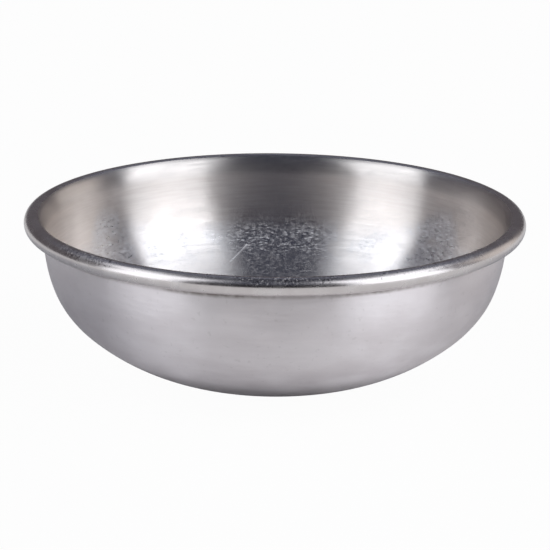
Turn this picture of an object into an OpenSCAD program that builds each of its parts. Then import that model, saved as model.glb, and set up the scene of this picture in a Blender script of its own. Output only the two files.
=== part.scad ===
// Stainless steel bowl: one sheet, drawn to a round form, with its rim rolled outwards over a wire.
// The origin is the centre of the flat foot, at table level. +Z is up, and the bowl is round about Z.
// The shell is the sheet's own section turned about Z, so it keeps one thickness from foot to edge.

/* [Bowl] */
// Diameter over the rolled rim
rim_d = 160; // [152:1:168]
// Height from the table to the crest of the rim
bowl_h = 53.3; // [51.5:0.1:55]
// Diameter of the flat foot that the bowl stands on
foot_d = 34; // [28:1:40]
// Thickness of the sheet
sheet_t = 0.8; // [0.6:0.05:1]

/* [Wall] */
// Slope at which the floor's curve meets the shoulder's, in degrees from level
floor_slope = 41.5; // [39:0.5:44]
// Slope at which the shoulder's curve meets the upper wall's, in degrees from level
shoulder_slope = 70.5; // [68:0.5:73]
// Radius of the upper wall's curve, to the outer face
wall_r = 47; // [42:1:52]

/* [Rolled rim] */
// Diameter of the wire inside the rim
wire_d = 4; // [3.5:0.1:4.5]
// Room all round the wire, inside the roll
wire_room = 0.1; // [0.05:0.05:0.2]
// Radius of the flare by which the wall leads into the roll, to the inner face
flare_r = 10; // [9:0.5:12]
// Turn of the flare, in degrees from upright
flare_turn = 32; // [28:1:36]
// Gap left between the wall and the edge that is tucked in under the bead
tuck_gap = 0.3; // [0.2:0.05:0.45]
// Gap between the two ends of the wire
wire_end_gap = 0.8; // [0.4:0.1:2]

/* [Hidden] */
$fn = 180;

// Furthest that a straight step along a curve may lie inside it
chord_error = 0.02;
// Points closer than this are one point
same_point = 0.001;

// The roll fits round the wire and peaks at the crest. The flare hands over to it at a shared tangent.
roll_r = wire_d / 2 + wire_room + sheet_t;
crest_r = rim_d / 2 - roll_r;
roll_at = [crest_r, bowl_h - roll_r];
flare_to_roll = flare_r - roll_r;
flare_at = roll_at + flare_to_roll * [cos(flare_turn), -sin(flare_turn)];

// The wall's outer face stands upright where the flare begins
neck_r = flare_at.x - flare_r + sheet_t;
neck_z = flare_at.y;

// The trimmed edge is rounded. It stops short of the wall by tuck_gap, measured across the flare's curve.
trim_r = sheet_t / 2;
roll_to_trim = roll_r - trim_r;
flare_to_trim = flare_r - sheet_t - tuck_gap - trim_r;
trim_turn = acos((pow(flare_to_roll, 2) + pow(roll_to_trim, 2) - pow(flare_to_trim, 2))
    / (2 * flare_to_roll * roll_to_trim));
trim_angle = -flare_turn - trim_turn;

// What the floor's and the shoulder's curves have to cover between them, outwards and upwards
reach = neck_r - foot_d / 2 - wall_r * (1 - sin(shoulder_slope));
rise = neck_z - wall_r * cos(shoulder_slope);

// A curve of radius 1 that turns from slope a to slope b runs this far outwards and this far upwards
function outwards(a, b) = sin(b) - sin(a);
function upwards(a, b) = cos(a) - cos(b);

// The two radii that close the outline, from one equation for its reach and one for its rise
floor_out = outwards(0, floor_slope);
floor_up = upwards(0, floor_slope);
shoulder_out = outwards(floor_slope, shoulder_slope);
shoulder_up = upwards(floor_slope, shoulder_slope);
closing = floor_out * shoulder_up - shoulder_out * floor_up;
floor_r = (reach * shoulder_up - rise * shoulder_out) / closing;
shoulder_r = (rise * floor_out - reach * floor_up) / closing;

// Curves that meet share a tangent, so their centres lie on one line through the point where they meet
function normal_at(slope) = [sin(slope), -cos(slope)];
floor_at = [foot_d / 2, floor_r];
shoulder_at = floor_at + (floor_r - shoulder_r) * normal_at(floor_slope);
wall_at = shoulder_at + (shoulder_r - wall_r) * normal_at(shoulder_slope);

// Every bend of the sheet, from the foot to the trimmed edge: its centre, the radius of the outer face and
// of the inner face, and the angles about the centre at which it starts and ends
join_angle = 180 - flare_turn;
bends = [
    [floor_at, floor_r, floor_r - sheet_t, -90, floor_slope - 90],
    [shoulder_at, shoulder_r, shoulder_r - sheet_t, floor_slope - 90, shoulder_slope - 90],
    [wall_at, wall_r, wall_r - sheet_t, shoulder_slope - 90, 0],
    [flare_at, flare_r - sheet_t, flare_r, 180, join_angle],
    [roll_at, roll_r - sheet_t, roll_r, join_angle, 90],
    [roll_at, roll_r - sheet_t, roll_r, 90, 0],
    [roll_at, roll_r - sheet_t, roll_r, 0, trim_angle]
];
OUTER = 1;
INNER = 2;

// How many straight steps keep a curve of radius r within chord_error over a turn
function steps_for(r, turn) = ceil(abs(turn) / (2 * acos(1 - chord_error / r)));

// Points along a curve, both ends included
function curve(centre, r, from, to, steps) =
    [for (i = [0:steps]) let (a = from + (to - from) * i / steps) centre + r * [cos(a), sin(a)]];

// Points along one face of the sheet. Both faces take equal steps.
function face(side) =
    [for (b = bends) each curve(b[0], b[side], b[3], b[4], steps_for(max(b[OUTER], b[INNER]), b[4] - b[3]))];

// The trimmed edge, from the face by the wire round to the face outside
trim_at = roll_at + roll_to_trim * [cos(trim_angle), sin(trim_angle)];
trim = curve(trim_at, trim_r, trim_angle - 180, trim_angle, steps_for(trim_r, 180));

function backwards(points) = [for (i = [len(points) - 1:-1:0]) points[i]];
function distinct(points) =
    [for (i = [0:len(points) - 1]) if (i == 0 || norm(points[i] - points[i - 1]) > same_point) points[i]];

// Out along the underside of the foot and the outer face, round the trimmed edge, and back along the inner face
section = distinct(concat([[0, 0]], face(OUTER), trim, backwards(face(INNER)), [[0, sheet_t]]));

// The wire's gap as an angle, turned to the back of the bowl
wire_gap_angle = wire_end_gap / crest_r * 180 / PI;
wire_turn = 90 + wire_gap_angle / 2;

echo(floor_radius = floor_r, shoulder_radius = shoulder_r, trim_angle = trim_angle, points = len(section));

module bowl_shell() {
    color("lightsteelblue")
        rotate_extrude()
            polygon(section);
}

module rim_wire() {
    color("dimgray")
        rotate([0, 0, wire_turn])
            rotate_extrude(angle = 360 - wire_gap_angle)
                translate(roll_at)
                    circle(wire_d / 2);
}

bowl_shell();
rim_wire();
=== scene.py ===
# %% [markdown]
# # A stainless steel bowl, brushed inside and satin outside
#
# The bowl is one disc of stainless steel sheet, drawn to a round form, with its edge rolled outwards over a
# wire. What the eye takes from it is the finish: brushing that runs round the inside, a duller satin
# outside, and a rim rubbed bright by hands. This lesson turns the sheet's own section into one closed mesh,
# gives each of its three finishes a material, and then sets up the small studio for the steel to mirror.
#
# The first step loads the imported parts, which fix the bowl's size and its place.

# %% Load the frame
import math

import bpy
import numpy as np
from mathutils import Matrix, Vector


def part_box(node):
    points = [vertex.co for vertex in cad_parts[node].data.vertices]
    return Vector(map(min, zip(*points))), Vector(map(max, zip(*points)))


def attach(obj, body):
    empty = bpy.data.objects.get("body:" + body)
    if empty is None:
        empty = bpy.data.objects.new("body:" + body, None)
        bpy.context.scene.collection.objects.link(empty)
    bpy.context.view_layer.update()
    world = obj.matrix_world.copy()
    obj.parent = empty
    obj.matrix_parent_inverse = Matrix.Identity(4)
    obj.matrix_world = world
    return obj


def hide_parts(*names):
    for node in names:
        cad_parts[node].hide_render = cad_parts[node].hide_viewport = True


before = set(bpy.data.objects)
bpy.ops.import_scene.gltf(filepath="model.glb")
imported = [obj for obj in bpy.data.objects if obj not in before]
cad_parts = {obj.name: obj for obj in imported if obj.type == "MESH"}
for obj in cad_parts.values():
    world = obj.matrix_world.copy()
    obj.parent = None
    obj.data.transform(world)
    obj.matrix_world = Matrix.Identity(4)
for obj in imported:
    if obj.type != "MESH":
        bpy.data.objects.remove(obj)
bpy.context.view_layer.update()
MM = 0.001

# %% [markdown]
# ## Sizes of the sheet
#
# The rim's radius, the height and the bead come from the frame's boxes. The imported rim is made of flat
# facets, which fall a hair short of its circle on one side, so the shorter side gives the radius. The values
# that a box can't show, such as the sheet's thickness and the slopes at which one curve hands over to the
# next, are named here. The two large radii could be typed too, but then the outline would no longer close
# when another value changes. So they are solved, from one equation for its reach and one for its rise.

# %% Sizes of the section
SHEET = 0.8 * MM
FOOT_R = 17 * MM
WALL_R = 47 * MM
FLARE_R = 10 * MM
TUCK_GAP = 0.3 * MM
FLOOR_SLOPE = math.radians(41.5)
SHOULDER_SLOPE = math.radians(70.5)
FLARE_TURN = math.radians(32)

shell_low, shell_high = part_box("bowl_shell")
wire_low, wire_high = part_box("rim_wire")
CREST = shell_high.z
RIM_R = min(shell_high.x, -shell_low.x)
ROLL_R = (wire_high.z - wire_low.z) / 2 + CREST - wire_high.z
roll_at = np.array([RIM_R - ROLL_R, CREST - ROLL_R])
flare_at = roll_at + (FLARE_R - ROLL_R) * np.array([math.cos(FLARE_TURN), -math.sin(FLARE_TURN)])
neck_r = flare_at[0] - FLARE_R + SHEET
neck_z = flare_at[1]


def outwards(start, end):
    """How far out a curve of radius 1 runs between two slopes."""
    return math.sin(end) - math.sin(start)


def upwards(start, end):
    """How far up a curve of radius 1 runs between two slopes."""
    return math.cos(start) - math.cos(end)


turns = np.array([
    [outwards(0, FLOOR_SLOPE), outwards(FLOOR_SLOPE, SHOULDER_SLOPE)],
    [upwards(0, FLOOR_SLOPE), upwards(FLOOR_SLOPE, SHOULDER_SLOPE)],
])
covered = np.array([
    neck_r - FOOT_R - WALL_R * (1 - math.sin(SHOULDER_SLOPE)),
    neck_z - WALL_R * math.cos(SHOULDER_SLOPE),
])
FLOOR_R, SHOULDER_R = np.linalg.solve(turns, covered)
print(f"floor radius {FLOOR_R / MM:.2f} mm, shoulder radius {SHOULDER_R / MM:.2f} mm")
print(f"bead {2 * ROLL_R / MM:.2f} mm thick")

# %% [markdown]
# ## The bends of the sheet
#
# The section is a chain of bends that share their tangents. It could be drawn as a Bezier curve and filled,
# but then nothing would keep the sheet's two faces apart by its thickness. Here each bend is a row of a
# table: its centre, the radius of the outer face, the radius of the inner face, and the two angles between
# which it turns. The last bend is the roll, whose trimmed edge stops short of the wall by the tuck's gap.

# %% Table of bends
QUARTER = math.pi / 2
JOIN_ANGLE = math.pi - FLARE_TURN


def normal_at(slope):
    """The way from a curve's centre to its point of this slope, as (outwards, upwards)."""
    return np.array([math.sin(slope), -math.cos(slope)])


floor_at = np.array([FOOT_R, FLOOR_R])
shoulder_at = floor_at + (FLOOR_R - SHOULDER_R) * normal_at(FLOOR_SLOPE)
wall_at = shoulder_at + (SHOULDER_R - WALL_R) * normal_at(SHOULDER_SLOPE)
to_roll = FLARE_R - ROLL_R
to_trim = ROLL_R - SHEET / 2
across = FLARE_R - 1.5 * SHEET - TUCK_GAP
TRIM_ANGLE = -FLARE_TURN - math.acos((to_roll ** 2 + to_trim ** 2 - across ** 2) / (2 * to_roll * to_trim))
BENDS = [
    (floor_at, FLOOR_R, FLOOR_R - SHEET, -QUARTER, FLOOR_SLOPE - QUARTER),
    (shoulder_at, SHOULDER_R, SHOULDER_R - SHEET, FLOOR_SLOPE - QUARTER, SHOULDER_SLOPE - QUARTER),
    (wall_at, WALL_R, WALL_R - SHEET, SHOULDER_SLOPE - QUARTER, 0),
    (flare_at, FLARE_R - SHEET, FLARE_R, math.pi, JOIN_ANGLE),
    (roll_at, ROLL_R - SHEET, ROLL_R, JOIN_ANGLE, TRIM_ANGLE),
]
OUTER, INNER = 1, 2
print(f"the roll turns by {math.degrees(JOIN_ANGLE - TRIM_ANGLE):.0f} degrees")

# %% [markdown]
# ## The sheet's section
#
# One face of the sheet is the chain of bends read at one of the two radii, so the sheet is equally thick
# everywhere, as a drawn sheet nearly is. The two faces, the flat foot and the round of the trimmed edge join
# up to one line, from the middle of the foot's underside to the middle of its upper side. Its length up to
# each point is kept, because the brushing and the finishes follow it.

# %% Section of the sheet
WALL_STEP = 1.0 * MM
RIM_STEP = 0.36 * MM
TRIM_STEPS = 6
SAME_POINT = 0.01 * MM


def arc(centre, radius, start, end, steps):
    """Points at equal angles on a circle: centre + radius * (cos, sin), from start to end, both included."""
    angle = np.linspace(start, end, steps + 1)
    return centre + radius * np.stack([np.cos(angle), np.sin(angle)], axis=1)


def face(side):
    """One face of the sheet: every bend, read at that side's radius. Both faces take equal steps."""
    rows = []
    for bend in BENDS:
        start, end = bend[3:]
        step = RIM_STEP if bend[0] is roll_at else WALL_STEP
        steps = math.ceil(abs(end - start) * max(bend[OUTER], bend[INNER]) / step)
        rows.append(arc(bend[0], bend[side], start, end, steps))
    return np.concatenate(rows)


outer, inner = face(OUTER), face(INNER)
foot_steps = math.ceil(FOOT_R / WALL_STEP)
under_foot = np.linspace((0, 0), outer[0], foot_steps + 1)[:-1]
over_foot = np.linspace(inner[0], (0, SHEET), foot_steps + 1)[1:]
trim_at = roll_at + to_trim * np.array([math.cos(TRIM_ANGLE), math.sin(TRIM_ANGLE)])
trim = arc(trim_at, SHEET / 2, TRIM_ANGLE - math.pi, TRIM_ANGLE, TRIM_STEPS)[1:-1]

section = np.concatenate([under_foot, outer, trim, inner[::-1], over_foot])
apart = np.linalg.norm(np.diff(section, axis=0), axis=1)
section = section[np.concatenate([[True], apart > SAME_POINT])]
along = np.concatenate([[0], np.cumsum(np.linalg.norm(np.diff(section, axis=0), axis=1))])
SECTION_MM = along[-1] / MM
print(f"{len(section)} points on a section {SECTION_MM:.1f} mm long")

# %% [markdown]
# ## The bowl as one surface
#
# The surface has two parameters: how far along the section, and the angle round the axis. A Screw modifier
# would turn the section too, but it turns every point on a true circle, and a real bowl isn't quite true,
# because the sheet springs back unevenly when it leaves the tool. Worked out as an array, the wall can have
# a few slow waves, the largest about a tenth of a millimetre high, in whole numbers round the bowl so that
# they close. They make the mirrored lights wander at their edges. The two ends of the section lie on the
# axis, so each is a single point.

# %% Points of the surface
ROUND_STEPS = 288
# Each wave: how many go round the bowl, its height in mm, and its phase
WAVES = [(2, 0.11, 0.3), (3, 0.08, 2.1), (5, 0.05, 4.4), (7, 0.03, 1.2), (11, 0.016, 5.2)]
# Radians by which a metre of height turns the waves round the bowl
WAVE_DRIFT = 40


def spring_back(angle, height):
    """Slow waves of the wall: a sum of sines round the bowl that drift round with height. They swell between
    the foot and the neck, as 4h * (1 - h), and end there, because the wire holds the rim true."""
    h = np.clip(height / neck_z, 0, 1)
    wave = sum(size * np.sin(count * angle + phase + WAVE_DRIFT * height * count)
               for count, size, phase in WAVES)
    return wave * MM * 4 * h * (1 - h)


def revolve(profile):
    """Turns the profile about Z: (r * cos, r * sin, z), with r moved by the wall's waves except on the
    axis."""
    angle = np.arange(ROUND_STEPS) / ROUND_STEPS * 2 * math.pi
    r, z = profile[1:-1, 0][:, None], profile[1:-1, 1][:, None]
    r = r + spring_back(angle[None, :], z)
    z = np.broadcast_to(z, r.shape)
    ring = np.stack([r * np.cos(angle), r * np.sin(angle), z], axis=-1).reshape(-1, 3)
    poles = np.array([[0, 0, profile[0, 1]], [0, 0, profile[-1, 1]]])
    return np.concatenate([ring, poles])


points = revolve(section)
widest = np.hypot(points[:, 0], points[:, 1]).max()
print(f"{len(points)} points, up to {widest / MM:.2f} mm from the axis")

# %% [markdown]
# ## Faces and their places on the sheet
#
# Faces with four corners join each row of points to the next, and a fan of triangles closes each pole.
# Every corner also gets a place on the sheet: the share of a turn and the share of the section's length.
# Unwrapping by hand would stretch it. Written out with the faces, it is exact, and it has no wrap at the
# seam, because the last face of a row simply ends at 1.

# %% Faces of the surface
def row_and_turn(rows):
    """The row and the step round the bowl of every face with four corners."""
    return np.meshgrid(np.arange(rows - 1), np.arange(ROUND_STEPS), indexing="ij")


def faces_round(rows):
    """Faces with four corners between rows, and a fan of triangles at each pole, all wound to face
    outwards."""
    def at(row, turn):
        """The number of a point: every row holds ROUND_STEPS of them."""
        return (row * ROUND_STEPS + turn).reshape(-1)

    row, turn = row_and_turn(rows)
    ahead = (turn + 1) % ROUND_STEPS
    quads = np.stack([at(row, turn), at(row, ahead), at(row + 1, ahead), at(row + 1, turn)], axis=1)
    turn, ahead = turn[0], ahead[0]
    last = (rows - 1) * ROUND_STEPS
    pole = np.full(ROUND_STEPS, rows * ROUND_STEPS)
    first_fan = np.stack([pole, ahead, turn], axis=1)
    last_fan = np.stack([last + turn, last + ahead, pole + 1], axis=1)
    return quads, first_fan, last_fan


def corners(*places):
    """The corners of faces in order, each given as (u, v), as one list with a row for each corner."""
    pairs = [np.stack(np.broadcast_arrays(u, v), axis=-1) for u, v in places]
    return np.stack(pairs, axis=-2).reshape(-1, 2)


def corner_uv(rows):
    """UV of every face corner: u is the share of a turn, and v is the share of the section's length."""
    v = along / along[-1]
    row, turn = row_and_turn(rows)
    here, ahead = turn / ROUND_STEPS, (turn + 1) / ROUND_STEPS
    quads = corners((here, v[row + 1]), (ahead, v[row + 1]), (ahead, v[row + 2]), (here, v[row + 2]))
    here, ahead, middle = here[0], ahead[0], (turn[0] + 0.5) / ROUND_STEPS
    first_fan = corners((middle, v[0]), (ahead, v[1]), (here, v[1]))
    last_fan = corners((here, v[-2]), (ahead, v[-2]), (middle, v[-1]))
    return np.concatenate([quads, first_fan, last_fan])


rows = len(section) - 2
quads, first_fan, last_fan = faces_round(rows)
shell_mesh = bpy.data.meshes.new("steel_bowl")
shell_mesh.from_pydata(points, [], quads.tolist() + first_fan.tolist() + last_fan.tolist())
sheet_uv = shell_mesh.uv_layers.new(name="section")
sheet_uv.uv.foreach_set("vector", corner_uv(rows).astype(np.float32).ravel())
shell_mesh.shade_smooth()
bowl = bpy.data.objects.new("steel_bowl", shell_mesh)
bpy.context.scene.collection.objects.link(bowl)
print(f"{len(quads) * 2 + len(first_fan) + len(last_fan)} triangles")

# %% [markdown]
# ## Which face has which finish
#
# The sheet has three finishes. The outside, from the foot to the seam under the bead, is satin. The bead is
# rubbed bright, from the round of its tucked edge to a little past the crest. From there down, the inside is
# brushed. Three objects could carry them, but each would have open borders, and the sheet would no longer be
# one closed surface. On one mesh, each face takes the finish of the stretch of section that it lies on.

# %% Finish of each face
SATIN, BRIGHT, BRUSHED = range(3)
# The bright finish starts at this step round the trimmed edge, and ends at this angle of the roll, where 90
# degrees is the crest
RUBBED_STEP = 4
BEAD_END = math.radians(118.5)

bead_from = along[np.argmin(np.linalg.norm(section - trim[RUBBED_STEP - 1], axis=1))]
rest_of_edge = SHEET / 2 * math.pi * (1 - RUBBED_STEP / TRIM_STEPS)
bead_to = bead_from + rest_of_edge + ROLL_R * (BEAD_END - TRIM_ANGLE)
middle_along = (along[1:] + along[:-1]) / 2
of_row = np.where(middle_along < bead_from, SATIN, np.where(middle_along < bead_to, BRIGHT, BRUSHED))
of_rows = np.concatenate([of_row[1:-1], of_row[:1], of_row[-1:]])
finish = np.repeat(of_rows, ROUND_STEPS)
shell_mesh.polygons.foreach_set("material_index", finish.astype(np.int32))
print("faces satin, bright, brushed:", np.bincount(finish).tolist())

# %% [markdown]
# ## Colour and nodes
#
# Colours are written as sRGB hex values, as a paint shop would give them, and turned to the linear values
# that the shader works in. A material could be built by hand in the node editor, but a script can be read
# and run again. One helper adds a node of any kind, sets its properties and fills its sockets.

# %% Colour and nodes
def linear(hex_code):
    """The linear colour of an sRGB hex value: v / 12.92 below 0.04045, else ((v + 0.055) / 1.055) ** 2.4."""
    v = np.array([int(hex_code[i:i + 2], 16) for i in (1, 3, 5)]) / 255
    v = np.where(v <= 0.04045, v / 12.92, ((v + 0.055) / 1.055) ** 2.4)
    return (*v.tolist(), 1.0)


def add(tree, kind, *values, **settings):
    """Adds a node of this kind and gives its outputs. values fill its sockets in their order, and a
    dictionary among them fills sockets by name or number, each with a value or with a link from another
    node's output. settings are the node's own properties."""
    node = tree.nodes.new("ShaderNode" + kind)
    for name, value in settings.items():
        setattr(node, name, value)
    sockets = {}
    for number, value in enumerate(values):
        sockets.update(value if isinstance(value, dict) else {number: value})
    for socket, value in sockets.items():
        if isinstance(value, bpy.types.NodeSocket):
            tree.links.new(value, node.inputs[socket])
        else:
            node.inputs[socket].default_value = value
    return node.outputs


print("#8C8C8C is", [round(v, 3) for v in linear("#8C8C8C")[:3]])

# %% [markdown]
# ## Marks that run round the bowl
#
# Brushing and polishing marks run round a bowl, because it turned on a spindle while it was rubbed. An image
# of brushed steel could be wrapped round it, but it would repeat and show its joint. These patterns are
# worked out at every point instead. Their place is given by the direction from the axis, which has no seam,
# and by the distance along the section. Noise stretched along the first and squeezed along the second turns
# its blobs into rings, and a cell pattern stretched the same way, but less, gives the short dashes that
# scrubbing leaves. Wear that comes back a few times round the bowl follows a cosine of the angle.

# %% Patterns round the bowl
# The setting of a Map Range that eases in and out
SMOOTH = {"interpolation_type": "SMOOTHSTEP"}
# A dash is full up to the first share of its cell's size and gone from the second on
DASH_EDGE = (0.16, 0.42)
# Cells with a chance below the first can't be seen, and above the second they are at their strongest
DASH_CHANCE = (0.15, 0.7)


def ring_place(tree, streaks, width_mm, seed):
    """A place for a texture that is to be stretched round the bowl: streaks tells how many units of the
    texture fit in one radian, and width_mm is how far one unit reaches along the section."""
    place = add(tree, "TexCoord")["Object"]
    flat = add(tree, "VectorMath", place, (1, 1, 0), operation="MULTIPLY")[0]
    way = add(tree, "VectorMath", flat, operation="NORMALIZE")[0]
    way = add(tree, "VectorMath", way, (streaks, streaks, 0), operation="MULTIPLY")[0]
    uv = add(tree, "UVMap", uv_map="section")[0]
    length = add(tree, "VectorMath", uv, (0, SECTION_MM / width_mm, 0), operation="MULTIPLY")[0]
    length = add(tree, "SeparateXYZ", length)["Y"]
    lift = add(tree, "CombineXYZ", {"X": seed, "Z": length})[0]
    return add(tree, "VectorMath", way, lift, operation="ADD")[0]


def ring_noise(tree, streaks, width_mm, detail=2.0, seed=0.0):
    """Noise stretched round the bowl."""
    where = ring_place(tree, streaks, width_mm, seed)
    return add(tree, "TexNoise", {"Vector": where, "Scale": 1.0, "Detail": detail})["Fac"]


def ring_dashes(tree, streaks, width_mm, seed=0.0):
    """Short dashes along the rings: 1 at the middle of a cell, fading to 0, and each cell weaker by a chance
    of its own, so that some of them can't be seen."""
    where = ring_place(tree, streaks, width_mm, seed)
    cell = add(tree, "TexVoronoi", {"Vector": where, "Scale": 1.0})
    chance = add(tree, "SeparateColor", cell["Color"])["Red"]
    dash = add(tree, "MapRange", cell["Distance"], *DASH_EDGE, 1.0, 0.0, **SMOOTH)[0]
    shown = add(tree, "MapRange", chance, *DASH_CHANCE, 0.0, 1.0, **SMOOTH)[0]
    return add(tree, "Math", dash, shown, operation="MULTIPLY")[0]


def lobes(tree, count):
    """Swells between -1 and 1, count times round the bowl: cos(count * angle). One lies straight behind."""
    place = add(tree, "SeparateXYZ", add(tree, "TexCoord")["Object"])
    angle = add(tree, "Math", place["X"], place["Y"], operation="ARCTAN2")[0]
    angle = add(tree, "Math", angle, float(count), operation="MULTIPLY")[0]
    return add(tree, "Math", angle, operation="COSINE")[0]


print(f"one radian is {RIM_R / MM:.0f} mm long at the rim, and shorter further in")

# %% [markdown]
# ## Marks from use
#
# Use leaves marks that don't run round. Blotches are plain noise in the bowl's own space. Scratches run any
# way, and are drawn on the plan of the bowl, as a spoon makes them from above. A scratch that has its own
# place is one straight line between two points. Each could be cut into the mesh, but marks this fine would
# need millions of faces, and a pattern in the finish costs none.

# %% Patterns from use
# Scratches bend over the first distance, and sideways by less than the second
BEND_LENGTH = 60 * MM
BEND_WIDTH = 14 * MM
# A scratch comes up from nothing to full over this much of the noise
SCRATCH_EDGE = 0.06
# A straight mark is full up to this part of its half width
FULL_PART = 0.25


def blotches(tree, size_mm, detail=2.0, seed=0.0):
    """Plain noise in the bowl's own space, with blotches of about size_mm."""
    place = add(tree, "TexCoord")["Object"]
    place = add(tree, "VectorMath", place, (seed, seed, seed), operation="ADD")[0]
    scale = 1 / (size_mm * MM)
    return add(tree, "TexNoise", {"Vector": place, "Scale": scale, "Detail": detail})["Fac"]


def scratches(tree, turn, length_mm, width_mm, share, seed):
    """Thin marks that run at one angle in plan, a little bent: noise stretched along the mark, of which only
    the highest share shows."""
    place = add(tree, "TexCoord")["Object"]
    bend = add(tree, "TexNoise", {"Vector": place, "Scale": 1 / BEND_LENGTH})["Color"]
    bend = add(tree, "VectorMath", bend, {"Scale": BEND_WIDTH}, operation="SCALE")[0]
    place = add(tree, "VectorMath", place, bend, operation="ADD")[0]
    scale = (1 / (length_mm * MM), 1 / (width_mm * MM), 1 / (length_mm * MM))
    place = add(tree, "Mapping", {
        "Vector": place, "Location": (seed, seed, seed), "Rotation": (0, 0, turn), "Scale": scale})[0]
    noise = add(tree, "TexNoise", {"Vector": place, "Scale": 1.0, "Detail": 1.0})["Fac"]
    return add(tree, "MapRange", noise, 1 - share, 1 - share + SCRATCH_EDGE, 0.0, 1.0, **SMOOTH)[0]


def line_mark(tree, start_mm, end_mm, half_width_mm):
    """One straight mark from start to end: 1 near the line between them and 0 from half_width_mm on, by the
    distance from the point to the nearest point of the line, start + share * way, with the share held
    within 0 to 1."""
    start = Vector(start_mm) * MM
    way = (Vector(end_mm) - Vector(start_mm)) * MM
    place = add(tree, "TexCoord")["Object"]
    from_start = add(tree, "VectorMath", place, start, operation="SUBTRACT")[0]
    share = add(tree, "VectorMath", from_start, way / way.length_squared, operation="DOT_PRODUCT")["Value"]
    share = add(tree, "Clamp", share)[0]
    nearest = add(tree, "VectorMath", way, {"Scale": share}, operation="SCALE")[0]
    distance = add(tree, "VectorMath", from_start, nearest, operation="DISTANCE")["Value"]
    edge = (FULL_PART * half_width_mm * MM, half_width_mm * MM)
    return add(tree, "MapRange", distance, *edge, 1.0, 0.0, **SMOOTH)[0]


print(f"scratches bend by less than {BEND_WIDTH / MM:.0f} mm over {BEND_LENGTH / MM:.0f} mm")

# %% [markdown]
# ## Where the inside is worn
#
# Spoons wear a bowl where they turn and scrape. Here that is about halfway up the wall, and at six places
# round it. The wear thins out towards the foot and soon fades above, but behind the middle it reaches
# higher. It could be painted on by hand, point by point. As a share worked out from height, angle and
# blotches, it follows the bowl at any size, and each of these can be changed alone.

# %% Worn places
SPOON_PLACES = 6
# How strongly the places round the bowl show through the blotches, and the blotches that are worn
PLACES_SHOW = 0.11
WORN_BLOTCHES = (0.40, 0.54)
# Heights over which the wear comes in above the foot, and ends again
WORN_FROM = (18 * MM, 26 * MM)
WORN_UP_TO = (26 * MM, 34 * MM)
# Behind the middle the wear reaches higher by this much, coming in and ending over these places along Y
HIGHER_BY = 10 * MM
BEHIND_FROM = (34 * MM, 44 * MM)
BEHIND_TO = (44 * MM, 62 * MM)
# What is left of the wear high up, between the places where a spoon scrapes, and at the foot
LEFT_HIGH_UP = 0.06
LEFT_BETWEEN = 0.1
LEFT_AT_FOOT = 0.3


def joined(tree, operation, *shares):
    """Any number of shares, joined by one step of arithmetic after another, as ((a * b) * c) * d."""
    total = shares[0]
    for share in shares[1:]:
        total = add(tree, "Math", total, share, operation=operation)[0]
    return total


def worn_places(tree, patches):
    """Where the inside is worn: first the share for scratches, which fades upwards, and then the share for
    scuffs, which also fades towards the foot and between the places where a spoon scrapes."""
    place = add(tree, "SeparateXYZ", add(tree, "TexCoord")["Object"])
    rising = add(tree, "MapRange", place["Y"], *BEHIND_FROM, 0.0, HIGHER_BY, **SMOOTH)[0]
    falling = add(tree, "MapRange", place["Y"], *BEHIND_TO, HIGHER_BY, 0.0, **SMOOTH)[0]
    higher = add(tree, "Math", rising, falling, operation="MINIMUM")[0]
    height = add(tree, "Math", place["Z"], higher, operation="SUBTRACT")[0]
    low_down = add(tree, "MapRange", height, *WORN_UP_TO, 1.0, LEFT_HIGH_UP, **SMOOTH)[0]
    places = lobes(tree, SPOON_PLACES)
    scraped = add(tree, "Math", places, PLACES_SHOW, patches, operation="MULTIPLY_ADD")[0]
    scraped = add(tree, "MapRange", scraped, *WORN_BLOTCHES, LEFT_BETWEEN, 1.0, **SMOOTH)[0]
    above_foot = add(tree, "MapRange", place["Z"], *WORN_FROM, LEFT_AT_FOOT, 1.0, **SMOOTH)[0]
    return low_down, joined(tree, "MULTIPLY", low_down, scraped, above_foot)


print(f"wear is strongest {WORN_FROM[1] / MM:.0f} mm up and fades by {WORN_UP_TO[1] / MM:.0f} mm")

# %% [markdown]
# ## Scuffs and scratches
#
# A scuff scatters light every way, so it looks pale where the steel mirrors the dark, and greyer than the
# steel in a highlight. Most scuffs are dashes half a millimetre wide and about two millimetres long, coarser
# than real ones, which would melt into one grey. Fine crossed scratches lie among them, and one longer
# scratch crosses the back of the wall. One noise could give all of it, but it would look like dust. Each
# kind is a pattern of its own, and the strongest at a point is the one that shows.

# %% Scuffs and scratches
# How many dashes fit in a radian, and the width of one in mm
DASHES = 32.0
DASH_WIDTH = 0.55
# The values of the fine ring noise over which faint flecks come in, and dark ones end
FAINT_FROM = (0.50, 0.64)
DARK_TO = (0.36, 0.46)
# How strong faint flecks and crossed scratches are beside the dashes
FAINT_STRENGTH = 0.45
CROSSED_STRENGTH = 0.3
# Crossed scratches: the angle in plan, the length and the width in mm, the share that shows, and a seed
SCRATCHES = [(0.5, 4, 0.4, 0.33, 1.7), (1.9, 3, 0.35, 0.33, 5.1), (2.7, 6, 0.4, 0.32, 9.3)]
# The longer scratch on the back of the wall: its two ends and half its width, in mm
LONG_SCRATCH = ((-15.2, 60.9, 19.1), (-9.6, 65.9, 23.9), 0.4)
# It is weakest at the lowest values of the fine ring noise, where this much of it is left
BROKEN_BELOW = (0.35, 0.5)
LEFT_OF_SCRATCH = 0.35


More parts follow.
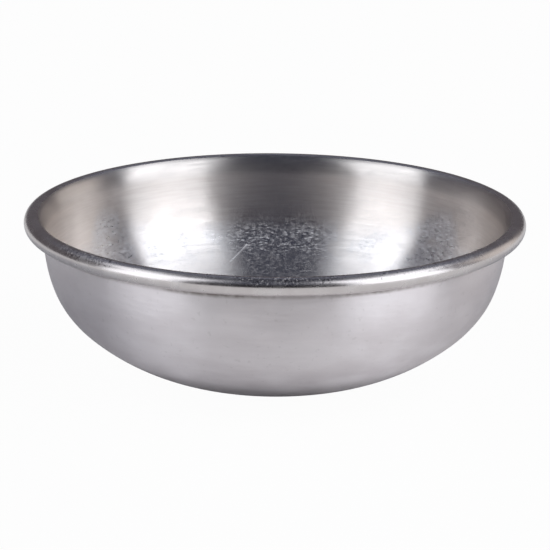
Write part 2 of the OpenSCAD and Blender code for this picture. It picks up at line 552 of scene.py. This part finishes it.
def scuffs(tree, low_down, worn):
    """The share of pale marks and the share of dark flecks. Pale marks are dashes, faint flecks, crossed
    scratches and the longer scratch, of which the strongest shows."""
    flecks = ring_noise(tree, streaks=40.0, width_mm=0.9, detail=5.0, seed=5.0)
    faint = add(tree, "MapRange", flecks, *FAINT_FROM, 0.0, 1.0, **SMOOTH)[0]
    faint = add(tree, "Math", faint, FAINT_STRENGTH, operation="MULTIPLY")[0]
    dashes = ring_dashes(tree, DASHES, DASH_WIDTH)
    pale = add(tree, "Math", dashes, faint, operation="MAXIMUM")[0]
    pale = add(tree, "Math", pale, worn, operation="MULTIPLY")[0]
    crossed = joined(tree, "MAXIMUM", *(scratches(tree, *mark) for mark in SCRATCHES))
    crossed = joined(tree, "MULTIPLY", crossed, low_down, CROSSED_STRENGTH)
    broken = add(tree, "MapRange", flecks, *BROKEN_BELOW, LEFT_OF_SCRATCH, 1.0, **SMOOTH)[0]
    long_one = add(tree, "Math", line_mark(tree, *LONG_SCRATCH), broken, operation="MULTIPLY")[0]
    dark = add(tree, "MapRange", flecks, *DARK_TO, 1.0, 0.0, **SMOOTH)[0]
    dark = add(tree, "Math", dark, worn, operation="MULTIPLY")[0]
    return joined(tree, "MAXIMUM", crossed, pale, long_one), dark


long_mm = (Vector(LONG_SCRATCH[1]) - Vector(LONG_SCRATCH[0])).length
from_axis_mm = math.hypot(*LONG_SCRATCH[0][:2])
print(f"the longer scratch is {long_mm:.1f} mm long, and dashes beside it {from_axis_mm / DASHES:.1f} mm")

# %% [markdown]
# ## Layers of a finish
#
# A finish is built up as a painter would build it: a plain colour, others laid over it where they belong,
# and relief on relief. Every layer could be written out node by node, but the steps are the same each time,
# so a loop adds them.

# %% Layers of a finish
# The setting of a Mix that works on colours
COLOURS = {"data_type": "RGBA"}
# The range that holds nearly all values of a noise texture, and one that holds most of them
NOISE = (0.3, 0.7)
MIDDLE_OF_NOISE = (0.35, 0.65)
CLEAN_STEEL = "#F1EAE5"


def layered(tree, colour, *layers):
    """A colour with others laid over it in turn. Each layer is a share, the most that it covers, and its own
    colour."""
    for share, most, over in layers:
        cover = add(tree, "Math", share, most, operation="MULTIPLY")[0]
        colour = add(tree, "Mix", {0: cover, 6: colour, 7: over}, **COLOURS)[2]
    return colour


def relief(tree, *layers):
    """Bumps laid over one another, each a pattern and its depth in mm, as the normal that they leave."""
    below = {}
    for pattern, depth_mm in layers:
        sockets = {"Height": pattern, "Distance": depth_mm * MM, "Strength": 1.0}
        below = {"Normal": add(tree, "Bump", {**sockets, **below})[0]}
    return below["Normal"]


def new_material(name):
    """An empty node material, and the tree that its nodes go into."""
    material = bpy.data.materials.new(name)
    material.use_nodes = True
    material.node_tree.nodes.clear()
    return material, material.node_tree


print("clean steel reflects", [round(v, 3) for v in linear(CLEAN_STEEL)[:3]])

# %% [markdown]
# ## Brushed inside
#
# The inside is 18/8 stainless steel, brushed on a spindle and worn by years of spoons. A metal's colour is
# what it mirrors, so the base colour is plain and pale, a little warm where it is clean and a little blue
# where spoons have polished it. Brushing leaves fine rings, and light spreads across them: a lamp shows as
# an upright band. Enough fine bumps would do that too, but only with very many samples. The shader's
# anisotropy does it at once, with its tangent turned across the rings. Real brush lines are a tenth of a
# millimetre or finer. Here they are 0.7 mm wide, because finer ones would melt into one grey. A scuff is
# steel that is less of a mirror. The flare is painted a little darker than the wall: painted shade, which
# dims the highlight of the lamps mirrored there.

# %% Brushed steel
# The flare's painted shade comes in over these heights
IN_FLARE = (neck_z - 0.5 * MM, neck_z + 2.5 * MM)
# Roughness from ring to ring, and what broad bands, patches and dark flecks add to it
BRUSHED_ROUGH = (0.30, 0.38)
BANDS_ADD = (-0.012, 0.012)
PATCHES_ADD = (-0.015, 0.025)
DARK_ADDS = -0.06
# How much of its mirror a scuff takes away
SCUFF_TAKES = 0.95


def brushed_steel():
    """Brushed 18/8 stainless steel: rough in rings, strongly anisotropic, scuffed where it is worn."""
    material, tree = new_material("brushed_stainless_inside")
    rings = ring_noise(tree, streaks=6.0, width_mm=0.7, detail=3.0)
    bands = ring_noise(tree, streaks=1.2, width_mm=5.0, seed=3.0)
    patches = blotches(tree, size_mm=9.0, detail=3.0)
    low_down, worn = worn_places(tree, patches)
    scuff, dark = scuffs(tree, low_down, worn)
    height = add(tree, "SeparateXYZ", add(tree, "TexCoord")["Object"])["Z"]
    flare_painted_shade = add(tree, "MapRange", height, *IN_FLARE, 0.0, 1.0, **SMOOTH)[0]

    rough = joined(
        tree, "ADD",
        add(tree, "MapRange", rings, *NOISE, *BRUSHED_ROUGH, **SMOOTH)[0],
        add(tree, "MapRange", bands, *NOISE, *BANDS_ADD, **SMOOTH)[0],
        add(tree, "MapRange", patches, *MIDDLE_OF_NOISE, *PATCHES_ADD, **SMOOTH)[0])
    rough = add(tree, "Math", dark, DARK_ADDS, rough, operation="MULTIPLY_ADD")[0]
    metal = add(tree, "Math", scuff, -SCUFF_TAKES, 1.0, operation="MULTIPLY_ADD")[0]
    ridge = add(tree, "MapRange", rings, *NOISE, 0.0, 1.0, **SMOOTH)[0]
    # The flare's darker band is painted shade, which dims the lamps mirrored there
    colour = layered(
        tree, linear(CLEAN_STEEL),
        (ridge, 1.0, linear("#FAF4EF")),
        (flare_painted_shade, 0.5, linear("#C9C5C3")),
        (low_down, 0.3, linear("#E9EBF0")),
        (worn, 0.3, linear("#E6E9F0")),
        (dark, 0.22, linear("#8C8F97")),
        (scuff, 1.0, linear("#FAFAFC")))
    tangent = add(tree, "Tangent", direction_type="RADIAL", axis="Z")[0]
    shader = add(tree, "BsdfPrincipled", {
        "Base Color": colour, "Metallic": metal, "Roughness": rough, "Anisotropic": 1.0,
        "Anisotropic Rotation": 0.25, "Tangent": tangent, "Normal": relief(tree, (rings, 0.0035))})[0]
    add(tree, "OutputMaterial", shader)
    return material


brushed = brushed_steel()
print("brushed steel:", len(brushed.node_tree.nodes), "nodes")

# %% [markdown]
# ## Satin outside
#
# The outside was rubbed with a coarser, softer wheel and has been handled since. It mirrors nothing clearly:
# the table and the lamps melt into one another. A high roughness alone would look too even, as plastic
# does, so low ripples, left by the wheel, break up the highlights. They are a tenth of a millimetre deep
# and drawn coarser than the wheel's own lines, which the eye can't part. A brown line runs along the seam
# under the bead, here more, there less: painted shade in the crease under the bead, and polish and dirt that
# collect there. Towards the foot the steel is painted a plainer grey, as painted shade for the dark floor
# under the bowl that it mirrors there.

# %% Satin steel
# The seam's line of painted shade and dirt comes in over these heights, and the foot's painted shade ends
# over these
IN_SEAM = (neck_z - 1.7 * MM, neck_z - 0.2 * MM)
NEAR_FOOT = (6 * MM, 16 * MM)
FOOT_SHADE_MOST = 0.6
# The values of a noise over which the seam's line grows, from the least of it to the most: long smears and
# spots
SEAM_LINE_GROWS = (0.35, 0.62)
SEAM_LINE_IN_SMEARS = (0.35, 0.8)
SEAM_LINE_IN_SPOTS = (0.7, 1.0)
# The values over which single spots show on the clean steel
SPOTS_FROM = (0.64, 0.74)
# Roughness from patch to patch, and what the rings and the seam's line add to it
SATIN_ROUGH = (0.38, 0.45)
RINGS_ADD = (-0.015, 0.015)
SEAM_LINE_ADDS = 0.12


def satin_steel():
    """Satin 18/8 stainless steel: rougher than the inside, rippled in rings, with a brown seam line that is
    partly painted shade and partly dirt, and painted shade towards the foot.
    """
    material, tree = new_material("satin_stainless_outside")
    rings = ring_noise(tree, streaks=3.0, width_mm=0.8, detail=3.0, seed=7.0)
    ripples = ring_noise(tree, streaks=13.0, width_mm=1.7, detail=1.0, seed=4.0)
    smears = ring_noise(tree, streaks=2.2, width_mm=9.0, seed=11.0)
    patches = blotches(tree, size_mm=9.0, detail=3.0, seed=0.3)
    spots = blotches(tree, size_mm=1.6, detail=2.0, seed=0.9)
    height = add(tree, "SeparateXYZ", add(tree, "TexCoord")["Object"])["Z"]
    # Painted shade: the steel greys towards the foot
    painted_foot_shade = add(tree, "MapRange", height, *NEAR_FOOT, FOOT_SHADE_MOST, 0.0, **SMOOTH)[0]
    # The seam's brown line: painted shade in the crease under the bead, and dirt
    seam_shade_and_dirt = joined(
        tree, "MULTIPLY",
        add(tree, "MapRange", height, *IN_SEAM, 0.0, 1.0, **SMOOTH)[0],
        add(tree, "MapRange", smears, *SEAM_LINE_GROWS, *SEAM_LINE_IN_SMEARS, **SMOOTH)[0],
        add(tree, "MapRange", spots, *SEAM_LINE_GROWS, *SEAM_LINE_IN_SPOTS, **SMOOTH)[0])

    rough = joined(
        tree, "ADD",
        add(tree, "MapRange", patches, *NOISE, *SATIN_ROUGH, **SMOOTH)[0],
        add(tree, "MapRange", rings, *NOISE, *RINGS_ADD, **SMOOTH)[0])
    rough = add(tree, "Math", seam_shade_and_dirt, SEAM_LINE_ADDS, rough, operation="MULTIPLY_ADD")[0]
    tone = add(tree, "Math", patches, 0.4, operation="MULTIPLY")[0]
    tone = add(tree, "Math", smears, 0.6, tone, operation="MULTIPLY_ADD")[0]
    tone = add(tree, "MapRange", tone, *MIDDLE_OF_NOISE, 0.0, 1.0, **SMOOTH)[0]
    spotted = add(tree, "MapRange", spots, *SPOTS_FROM, 0.0, 1.0, **SMOOTH)[0]
    # Over the steel's own tones lie the seam's line of painted shade and dirt, and the foot's painted shade
    colour = layered(
        tree, linear("#DFD9DB"),
        (tone, 1.0, linear("#E9E4E6")),
        (spotted, 0.12, linear("#98938F")),
        (seam_shade_and_dirt, 1.0, linear("#7E736C")),
        (painted_foot_shade, 1.0, linear("#8A8587")))
    tangent = add(tree, "Tangent", direction_type="RADIAL", axis="Z")[0]
    shader = add(tree, "BsdfPrincipled", {
        "Base Color": colour, "Metallic": 1.0, "Roughness": rough, "Anisotropic": 0.85,
        "Anisotropic Rotation": 0.25, "Tangent": tangent,
        "Normal": relief(tree, (rings, 0.004), (ripples, 0.10), (patches, 0.10))})[0]
    add(tree, "OutputMaterial", shader)
    return material


satin = satin_steel()
print("satin steel:", len(satin.node_tree.nodes), "nodes")

# %% [markdown]
# ## Bright bead
#
# Hands and stacking rub a rim bright and leave nicks along its top. The bead is the smoothest steel on the
# bowl, so its roughness is low. A nick is a small hollow: its torn side is pale, and its floor is painted
# dark, as painted shade in the hollow. Both come from one noise, the pale from its highest values and the
# dark from its lowest, which puts them side by side as in a real nick. Nicks come in runs, where the rim has
# met a tap or another bowl, and lie mostly on the bead's front, fewer of them at its right. They are drawn
# 0.75 mm across, about twice their real size, so that they show.

# %% Bright steel
# Nicks come in over these heights below the crest, and thin out towards the back and to the right
ON_TOP = (CREST - 2.6 * MM, CREST - 0.8 * MM)
FRONT_TO = (-52 * MM, -38 * MM)
RIGHT_FROM = (22 * MM, 42 * MM)
LEFT_AT_BACK = 0.03
LEFT_AT_RIGHT = 0.4
# Runs come in over these values of their noise, and between them this much is left
RUNS_FROM = (0.40, 0.54)
LEFT_BETWEEN_RUNS = 0.1
# Torn steel comes in over these values of the fine noise, pits end over these, and torn steel mirrors less
TORN_FROM = (0.57, 0.65)
PITS_TO = (0.36, 0.44)
TORN_TAKES = 0.5
BEAD_ROUGH = (0.23, 0.29)


def bright_steel():
    """Stainless steel rubbed bright: smooth, with nicks in runs along the top of its front."""
    material, tree = new_material("rubbed_stainless_bead")
    place = add(tree, "SeparateXYZ", add(tree, "TexCoord")["Object"])
    noise = blotches(tree, size_mm=0.75, detail=2.0, seed=0.2)
    runs = blotches(tree, size_mm=16.0, detail=1.0, seed=0.5)
    here = joined(
        tree, "MULTIPLY",
        add(tree, "MapRange", runs, *RUNS_FROM, LEFT_BETWEEN_RUNS, 1.0, **SMOOTH)[0],
        add(tree, "MapRange", place["Z"], *ON_TOP, 0.0, 1.0, **SMOOTH)[0],
        add(tree, "MapRange", place["Y"], *FRONT_TO, 1.0, LEFT_AT_BACK, **SMOOTH)[0],
        add(tree, "MapRange", place["X"], *RIGHT_FROM, 1.0, LEFT_AT_RIGHT, **SMOOTH)[0])
    torn = add(tree, "MapRange", noise, *TORN_FROM, 0.0, 1.0, **SMOOTH)[0]
    torn = add(tree, "Math", torn, here, operation="MULTIPLY")[0]
    pit_and_painted_shade = add(tree, "MapRange", noise, *PITS_TO, 1.0, 0.0, **SMOOTH)[0]
    pit_and_painted_shade = add(tree, "Math", pit_and_painted_shade, here, operation="MULTIPLY")[0]

    patches = blotches(tree, size_mm=6.0, seed=0.7)
    rough = add(tree, "MapRange", patches, *NOISE, *BEAD_ROUGH, **SMOOTH)[0]
    tone = add(tree, "MapRange", patches, *NOISE, 0.0, 1.0, **SMOOTH)[0]
    # The floors of the nicks are painted dark: painted shade in the hollows
    colour = layered(
        tree, linear("#CEC8C7"),
        (tone, 1.0, linear("#D7D2D1")),
        (pit_and_painted_shade, 0.8, linear("#5E5C5E")))
    metal = add(tree, "Math", torn, -TORN_TAKES, 1.0, operation="MULTIPLY_ADD")[0]
    shader = add(tree, "BsdfPrincipled", {
        "Base Color": colour, "Metallic": metal, "Roughness": rough,
        "Normal": relief(tree, (pit_and_painted_shade, -0.01))})[0]
    add(tree, "OutputMaterial", shader)
    return material


bright = bright_steel()
for material in (satin, bright, brushed):
    shell_mesh.materials.append(material)
print("finishes:", [m.name for m in shell_mesh.materials])

# %% [markdown]
# ## The wire
#
# The wire hides inside the bead. Its solid already has the right shape, so making it again would gain
# nothing. It keeps its mesh and only gets a finish: bright drawn wire, a little uneven from the die.

# %% Drawn wire
WIRE_ROUGH = (0.28, 0.4)


def drawn_wire():
    """Bright drawn steel wire: plain grey metal whose roughness varies a little."""
    material, tree = new_material("bright_drawn_wire")
    rough = add(tree, "MapRange", blotches(tree, size_mm=0.6), *NOISE, *WIRE_ROUGH, **SMOOTH)[0]
    shader = add(tree, "BsdfPrincipled", {
        "Base Color": linear("#A9A8A8"), "Metallic": 1.0, "Roughness": rough})[0]
    add(tree, "OutputMaterial", shader)
    return material


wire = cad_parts["rim_wire"]
wire.data.materials.clear()
wire.data.materials.append(drawn_wire())
print("the wire is", round((wire_high.z - wire_low.z) / MM, 2), "mm thick")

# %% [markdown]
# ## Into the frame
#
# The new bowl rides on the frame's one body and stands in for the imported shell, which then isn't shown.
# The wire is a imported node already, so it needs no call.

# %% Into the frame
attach(bowl, "root")
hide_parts("bowl_shell")

# %% [markdown]
# ## Floor
#
# The floor is white board with a satin coat. Strong light would make a plain white board look white, but it
# would flood the steel as well. So for the camera nearly all of its white is its own glow, which looks even,
# and the rest is light that falls on it, so that it still takes the bowl's shadow. In the steel it shows as
# lit board with a share of glow on top, and that glow is painted light: a painted pool of light in front of
# the bowl, a little to the right, and far off, and a painted shadow round the foot, where the glow fades.

# %% Floor
FLOOR_HALF = 3.0
# How much of the board's white is glow, for the camera and at most in the steel
GLOW_SEEN = 0.97
GLOW_MIRRORED = 0.55
# The mirrored board's painted pool of light brightens ahead of the bowl, a little to the right, over these
# distances
AHEAD = (-20 * MM, 120 * MM)
TO_THE_RIGHT = 0.38
# Its painted light brightens all round over these distances, not quite as much
FAR_OFF = (150 * MM, 290 * MM)
FAR_GLOW = 0.88
# The painted shadow round the foot ends over these
PAINTED_FOOT_SHADOW = (44 * MM, 72 * MM)


def coated_board():
    """White coated board: lit board mixed with a white glow, by a share for the camera's rays and another
    for the rays that the steel mirrors. The steel's share is painted light: a pool ahead of the bowl and far
    off, with a painted shadow round the foot."""
    material, tree = new_material("white_coated_board")
    lit = add(tree, "BsdfPrincipled", {"Base Color": linear("#F0F0F0"), "Roughness": 0.35})[0]
    glow = add(tree, "Emission", (1, 1, 1, 1), 1.0)[0]
    place = add(tree, "TexCoord")["Object"]
    radius = add(tree, "VectorMath", place, operation="LENGTH")["Value"]
    across = add(tree, "SeparateXYZ", place)
    ahead = add(tree, "Math", across["Y"], -1.0, operation="MULTIPLY")[0]
    ahead = add(tree, "Math", across["X"], TO_THE_RIGHT, ahead, operation="MULTIPLY_ADD")[0]
    # Painted light: the mirrored glow pools ahead of the bowl and far off, and a painted shadow takes it away
    # round the foot
    painted_pool_ahead = add(tree, "MapRange", ahead, *AHEAD, 0.0, 1.0, **SMOOTH)[0]
    painted_light_far = add(tree, "MapRange", radius, *FAR_OFF, 0.0, FAR_GLOW, **SMOOTH)[0]
    painted_pool = add(tree, "Math", painted_pool_ahead, painted_light_far, operation="MAXIMUM")[0]
    out_of_painted_foot_shadow = add(tree, "MapRange", radius, *PAINTED_FOOT_SHADOW, 0.0, 1.0, **SMOOTH)[0]
    mirrored = joined(tree, "MULTIPLY", painted_pool, out_of_painted_foot_shadow, GLOW_MIRRORED)
    path = add(tree, "LightPath")
    seen = add(tree, "Math", path["Is Camera Ray"], GLOW_SEEN, operation="MULTIPLY")[0]
    share = add(tree, "Math", path["Is Glossy Ray"], mirrored, seen, operation="MULTIPLY_ADD")[0]
    add(tree, "OutputMaterial", add(tree, "MixShader", share, lit, glow)[0])
    return material


floor_mesh = bpy.data.meshes.new("floor")
floor_mesh.from_pydata(
    [(-FLOOR_HALF, -FLOOR_HALF, 0), (FLOOR_HALF, -FLOOR_HALF, 0),
     (FLOOR_HALF, FLOOR_HALF, 0), (-FLOOR_HALF, FLOOR_HALF, 0)], [], [(0, 1, 2, 3)])
floor_mesh.materials.append(coated_board())
floor = bpy.data.objects.new("floor", floor_mesh)
bpy.context.scene.collection.objects.link(floor)
print("floor", 2 * FLOOR_HALF, "m wide")

# %% [markdown]
# ## A light drawn on the sky
#
# Steel shows its room, so the room has to be right before the steel can be. Area lamps could light it, but
# they have hard edges, which curved steel shows at once. Here each light is drawn in the world, by
# direction: an angle round the bowl, counted from the camera, and an elevation. Drawn this way, a light has
# a soft edge, as a cloth front has, and no stand to get in the picture.

# %% Directions and soft lights
# Half the width of a light's edge, in degrees, and how many times softer it is at its top
EDGE = 2.5
TOP_EDGE = 6
# How far a light's near edge moves on with elevation, degree for degree
NEAR_LEAN = 0.12
# The elevation in degrees above which a light leans over the table
LEANS_ABOVE = 35
# A light is this much brighter at its foot, which ends over these elevations in radians
FOOT_GLOW = 1.25
FOOT_ENDS = (-0.05, 0.45)

world = bpy.data.worlds.new("studio")
bpy.context.scene.world = world
world.use_nodes = True
sky = world.node_tree
sky.nodes.clear()
way = add(sky, "SeparateXYZ", add(sky, "TexCoord")["Generated"])
to_camera = add(sky, "Math", way["Y"], -1.0, operation="MULTIPLY")[0]
turn = add(sky, "Math", way["X"], to_camera, operation="ARCTAN2")[0]
elevation = add(sky, "Math", way["Z"], operation="ARCSINE")[0]


def soft_light(side, near, far, top, lean):
    """1 in the direction of the light and 0 away from it, with a smooth edge. near and far are its two ends
    in degrees round from the camera, on the side +1 or -1, and top is the elevation that it reaches up to.
    Its near edge leans a little towards the camera. Higher up it leans over the back of the table, so that
    its far end moves on by lean degrees a degree."""
    near, far, top, edge = (math.radians(v) for v in (near, far, top, EDGE))
    from_camera = add(sky, "Math", turn, side, operation="MULTIPLY")[0]
    from_near = add(sky, "Math", elevation, NEAR_LEAN, from_camera, operation="MULTIPLY_ADD")[0]
    leaning = add(sky, "Math", elevation, math.radians(LEANS_ABOVE), operation="SUBTRACT")[0]
    leaning = add(sky, "Math", leaning, 0.0, operation="MAXIMUM")[0]
    from_far = add(sky, "Math", leaning, -lean, from_camera, operation="MULTIPLY_ADD")[0]
    top_edge = TOP_EDGE * edge
    return joined(
        sky, "MULTIPLY",
        add(sky, "MapRange", from_near, near - edge, near + edge, 0.0, 1.0, **SMOOTH)[0],
        add(sky, "MapRange", from_far, far - edge, far + edge, 1.0, 0.0, **SMOOTH)[0],
        add(sky, "MapRange", elevation, top - top_edge, top + top_edge, 1.0, 0.0, **SMOOTH)[0],
        add(sky, "MapRange", elevation, *FOOT_ENDS, FOOT_GLOW, 1.0, **SMOOTH)[0])


print("a light's edge is", 2 * EDGE, "degrees wide")

# %% [markdown]
# ## Studio
#
# Two tall soft lights stand to the left and right of the camera. Their tops lean over towards the back of
# the table. A low warm screen stands beyond the right light, for the left of the inside to mirror. The rest
# of the room is dim: dark towards the camera, greyer behind the bowl, a little lighter and bluer higher up,
# and darker again overhead. Each of them is one more layer of colour on the sky.

# %% Room and lights
# The room goes from its front to its back over these values of the direction's Y, and changes upwards over
# these elevations in radians
FRONT_TO_BACK = (-0.6, 0.4)
HIGH_UP = (0.4, 0.85)
OVERHEAD = (0.9, 1.3)
# The lights are brighter than white, so they are linear values and not hex ones
RIGHT_COLOUR = (2.02, 2.08, 2.18, 1)
LEFT_COLOUR = (1.80, 1.86, 1.95, 1)

screen = soft_light(1, 104, 140, 28, 0.0)
right_light = soft_light(1, 38, 84, 58, 1.9)
left_light = soft_light(-1, 45, 82, 59, 2.0)
behind = add(sky, "MapRange", way["Y"], *FRONT_TO_BACK, 0.0, 1.0, **SMOOTH)[0]
high_up = add(sky, "MapRange", elevation, *HIGH_UP, 0.0, 1.0, **SMOOTH)[0]
overhead = add(sky, "MapRange", elevation, *OVERHEAD, 0.0, 1.0, **SMOOTH)[0]
upper_room = layered(sky, linear("#4F5361"), (behind, 1.0, linear("#747886")))
room = layered(
    sky, linear("#1E1C22"),
    (behind, 1.0, linear("#605C60")),
    (high_up, 1.0, upper_room),
    (overhead, 1.0, linear("#3E414C")),
    (screen, 1.0, linear("#E6DFDA")),
    (right_light, 1.0, RIGHT_COLOUR),
    (left_light, 1.0, LEFT_COLOUR))
add(sky, "OutputWorld", add(sky, "Background", room, 1.0)[0])
print("sky:", len(sky.nodes), "nodes")

# %% [markdown]
# ## Camera
#
# The camera looks down on the bowl by about sixteen degrees through a long lens. A short lens close by would
# make the near side of the rim rounder than the far side, and a long one keeps its ellipse nearly even. Its
# place was worked out from the outline of the bowl in the photograph.

# %% Camera
LOOK_DOWN = math.radians(15.94)
ROLL = math.radians(0.484)
DISTANCE = 1.0
AIM = Vector((0.15 * MM, 0, 31.97 * MM))
# The lens and the picture's width in pixels, which give the lens in mm for any width of sensor
LENS_PX, FRAME_PX = 3116, 550
SENSOR = 36.0

back = Vector((0, -math.cos(LOOK_DOWN), math.sin(LOOK_DOWN)))
level = Vector((1, 0, 0))
upright = back.cross(level)
right = math.cos(ROLL) * level + math.sin(ROLL) * upright
up = back.cross(right)
turned = Matrix((right, up, back)).transposed().to_4x4()
camera_data = bpy.data.cameras.new("camera")
camera_data.sensor_width = SENSOR
camera_data.lens = SENSOR * LENS_PX / FRAME_PX
camera = bpy.data.objects.new("camera", camera_data)
camera.matrix_world = Matrix.Translation(AIM + back * DISTANCE) @ turned
bpy.context.scene.collection.objects.link(camera)
bpy.context.scene.camera = camera
bpy.context.scene.view_settings.view_transform = "Standard"
print("lens", round(camera_data.lens, 1), "mm")
